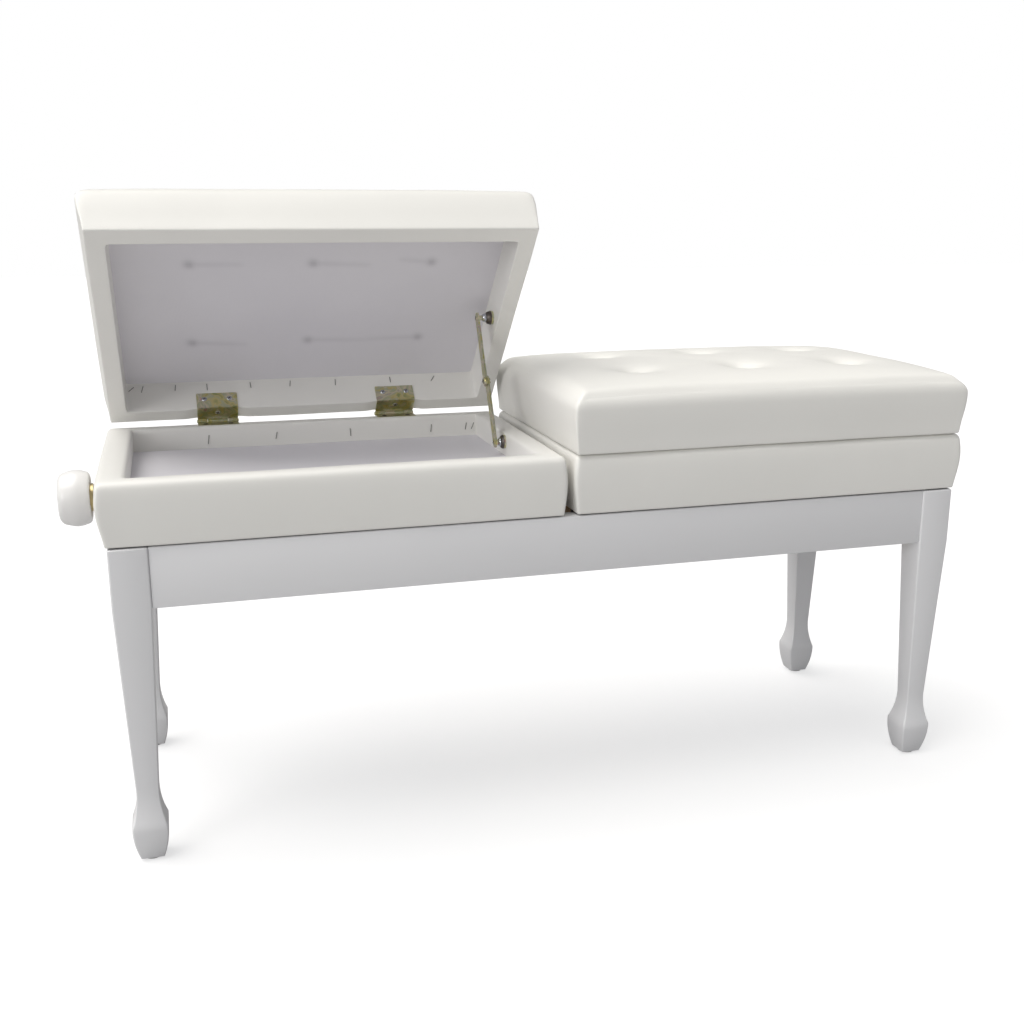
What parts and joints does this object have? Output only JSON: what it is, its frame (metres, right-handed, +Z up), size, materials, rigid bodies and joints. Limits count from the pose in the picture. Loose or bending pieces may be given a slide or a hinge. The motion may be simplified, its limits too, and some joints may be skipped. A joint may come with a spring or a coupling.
{
  "type": "piano bench",
  "caption": "Double adjustable piano bench with separate storage seats on screw scissor lifts, hinged tufted lids with folding stays, and a four-legged frame.",
  "frame": {"origin": "on the floor at the centre of the bench's own box at rest, with the left lid open; the frame's centre line is 22 mm in front of the origin", "axes": "+X along the bench to the sitter's right when facing the piano, +Y from the front edge to the hinge side, +Z up"},
  "size_m": [1.0672, 0.3667, 0.689],
  "materials": {
    "frame_paint": "semi-gloss white paint over hardwood",
    "raw_wood": "bare hardwood",
    "seat_board": "plywood board, covered",
    "seat_vinyl": "warm white padded vinyl with a fine soft grain",
    "lining_fabric": "pale greyish-lilac lining cloth",
    "seat_foam": "upholstery foam",
    "lift_steel": "mill-finish steel",
    "zinc_steel": "yellow zinc-plated steel",
    "screw_steel": "bright screw heads",
    "bearing_brass": "plain brass",
    "knob_gloss": "glossy white",
    "glide_plastic": "white nylon glide"
  },
  "bodies": {
    "leg_frame": {"leg_front_left": "frame_paint", "leg_front_right": "frame_paint", "leg_back_left": "frame_paint", "leg_back_right": "frame_paint", "apron_front": "frame_paint", "apron_back": "frame_paint", "end_aprons": "frame_paint", "centre_batten": "raw_wood", "corner_blocks": "raw_wood", "leg_bolts": "lift_steel", "foot_glides": "glide_plastic", "base_rails": "lift_steel"},
    "left_seat": {"left_box_walls": "seat_board", "left_box_cover": "seat_vinyl", "left_box_floor": "lining_fabric", "left_top_rails": "lift_steel", "left_spindle_bearings": "bearing_brass", "left_box_hinge_leaves": "zinc_steel", "left_box_screws": "screw_steel", "left_stay_box_bracket": "zinc_steel"},
    "left_lid": {"left_lid_rim": "seat_board", "left_lid_panel": "seat_board", "left_lid_foam": "seat_foam", "left_lid_cover": "seat_vinyl", "left_lid_lining": "lining_fabric", "left_lid_buttons": "seat_vinyl", "left_lid_hinge_leaves": "zinc_steel", "left_lid_screws": "screw_steel", "left_stay_lid_bracket": "zinc_steel"},
    "left_outer_arms": {"left_outer_arms": "lift_steel"},
    "left_inner_arms": {"left_inner_arms": "lift_steel"},
    "left_nut": {"left_lift_nut": "lift_steel"},
    "left_knob": {"left_spindle": "lift_steel", "left_knob": "knob_gloss"},
    "left_stay_lower": {"left_stay_lower_arm": "zinc_steel"},
    "left_stay_upper": {"left_stay_upper_arm": "zinc_steel"},
    "right_seat": {"right_box_walls": "seat_board", "right_box_cover": "seat_vinyl", "right_box_floor": "lining_fabric", "right_top_rails": "lift_steel", "right_spindle_bearings": "bearing_brass", "right_box_hinge_leaves": "zinc_steel", "right_box_screws": "screw_steel", "right_stay_box_bracket": "zinc_steel"},
    "right_lid": {"right_lid_rim": "seat_board", "right_lid_panel": "seat_board", "right_lid_foam": "seat_foam", "right_lid_cover": "seat_vinyl", "right_lid_lining": "lining_fabric", "right_lid_buttons": "seat_vinyl", "right_lid_hinge_leaves": "zinc_steel", "right_lid_screws": "screw_steel", "right_stay_lid_bracket": "zinc_steel"},
    "right_outer_arms": {"right_outer_arms": "lift_steel"},
    "right_inner_arms": {"right_inner_arms": "lift_steel"},
    "right_nut": {"right_lift_nut": "lift_steel"},
    "right_knob": {"right_spindle": "lift_steel", "right_knob": "knob_gloss"},
    "right_stay_lower": {"right_stay_lower_arm": "zinc_steel"},
    "right_stay_upper": {"right_stay_upper_arm": "zinc_steel"}
  },
  "joints": [
    {"name": "left_lift", "type": "slide", "parent": "leg_frame", "child": "left_seat", "axis": [0, 0, 1], "range_m": [0, 0.09]},
    {"name": "left_outer_arm_swing", "type": "hinge", "parent": "leg_frame", "child": "left_outer_arms", "pos_m": [-0.415, -0.022, 0.332], "axis": [0, -1, 0], "range_deg": [0, 17]},
    {"name": "left_inner_arm_swing", "type": "hinge", "parent": "left_seat", "child": "left_inner_arms", "pos_m": [-0.415, -0.022, 0.362], "axis": [0, 1, 0], "range_deg": [0, 17]},
    {"name": "left_nut_turn", "type": "hinge", "parent": "left_outer_arms", "child": "left_nut", "pos_m": [-0.09641, -0.022, 0.362], "axis": [0, 1, 0], "range_deg": [0, 17]},
    {"name": "left_knob_turn", "type": "hinge", "parent": "left_seat", "child": "left_knob", "pos_m": [-0.517, -0.022, 0.362], "axis": [1, 0, 0], "range_deg": [0, 2635]},
    {"name": "left_lid_hinge", "type": "hinge", "parent": "left_seat", "child": "left_lid", "pos_m": [-0.2445, 0.1436, 0.412], "axis": [-1, 0, 0], "range_deg": [-46.2, 0]},
    {"name": "left_stay_lower_turn", "type": "hinge", "parent": "left_seat", "child": "left_stay_lower", "pos_m": [-0.043, -0.025, 0.3996], "axis": [-1, 0, 0], "range_deg": [-96.4, 0]},
    {"name": "left_stay_upper_turn", "type": "hinge", "parent": "left_lid", "child": "left_stay_upper", "pos_m": [-0.0453, 0.04684, 0.53974], "axis": [1, 0, 0], "range_deg": [-106.5, 0]},
    {"name": "right_lift", "type": "slide", "parent": "leg_frame", "child": "right_seat", "axis": [0, 0, 1], "range_m": [0, 0.09]},
    {"name": "right_outer_arm_swing", "type": "hinge", "parent": "leg_frame", "child": "right_outer_arms", "pos_m": [0.415, -0.022, 0.332], "axis": [0, 1, 0], "range_deg": [0, 17]},
    {"name": "right_inner_arm_swing", "type": "hinge", "parent": "right_seat", "child": "right_inner_arms", "pos_m": [0.415, -0.022, 0.362], "axis": [0, -1, 0], "range_deg": [0, 17]},
    {"name": "right_nut_turn", "type": "hinge", "parent": "right_outer_arms", "child": "right_nut", "pos_m": [0.09641, -0.022, 0.362], "axis": [0, -1, 0], "range_deg": [0, 17]},
    {"name": "right_knob_turn", "type": "hinge", "parent": "right_seat", "child": "right_knob", "pos_m": [0.517, -0.022, 0.362], "axis": [-1, 0, 0], "range_deg": [0, 2635]},
    {"name": "right_lid_hinge", "type": "hinge", "parent": "right_seat", "child": "right_lid", "pos_m": [0.2445, 0.1436, 0.412], "axis": [-1, 0, 0], "range_deg": [0, 46.2]},
    {"name": "right_stay_lower_turn", "type": "hinge", "parent": "right_seat", "child": "right_stay_lower", "pos_m": [0.043, -0.025, 0.3996], "axis": [-1, 0, 0], "range_deg": [0, 96.4]},
    {"name": "right_stay_upper_turn", "type": "hinge", "parent": "right_lid", "child": "right_stay_upper", "pos_m": [0.0453, -0.01557, 0.43058], "axis": [1, 0, 0], "range_deg": [0, 106.5]}
  ],
  "couplings": [
    {"joint": "left_outer_arm_swing", "follows": "left_lift", "rad_per_m": 3.2279},
    {"joint": "left_inner_arm_swing", "follows": "left_lift", "rad_per_m": 3.2279},
    {"joint": "left_nut_turn", "follows": "left_lift", "rad_per_m": 3.2279},
    {"joint": "left_knob_turn", "follows": "left_lift", "rad_per_m": 510.63},
    {"joint": "left_stay_lower_turn", "follows": "left_lid_hinge", "ratio": 2.0844},
    {"joint": "left_stay_upper_turn", "follows": "left_lid_hinge", "ratio": 2.303},
    {"joint": "right_outer_arm_swing", "follows": "right_lift", "rad_per_m": 3.2279},
    {"joint": "right_inner_arm_swing", "follows": "right_lift", "rad_per_m": 3.2279},
    {"joint": "right_nut_turn", "follows": "right_lift", "rad_per_m": 3.2279},
    {"joint": "right_knob_turn", "follows": "right_lift", "rad_per_m": 510.63},
    {"joint": "right_stay_lower_turn", "follows": "right_lid_hinge", "ratio": 2.0844},
    {"joint": "right_stay_upper_turn", "follows": "right_lid_hinge", "ratio": 2.303}
  ]
}
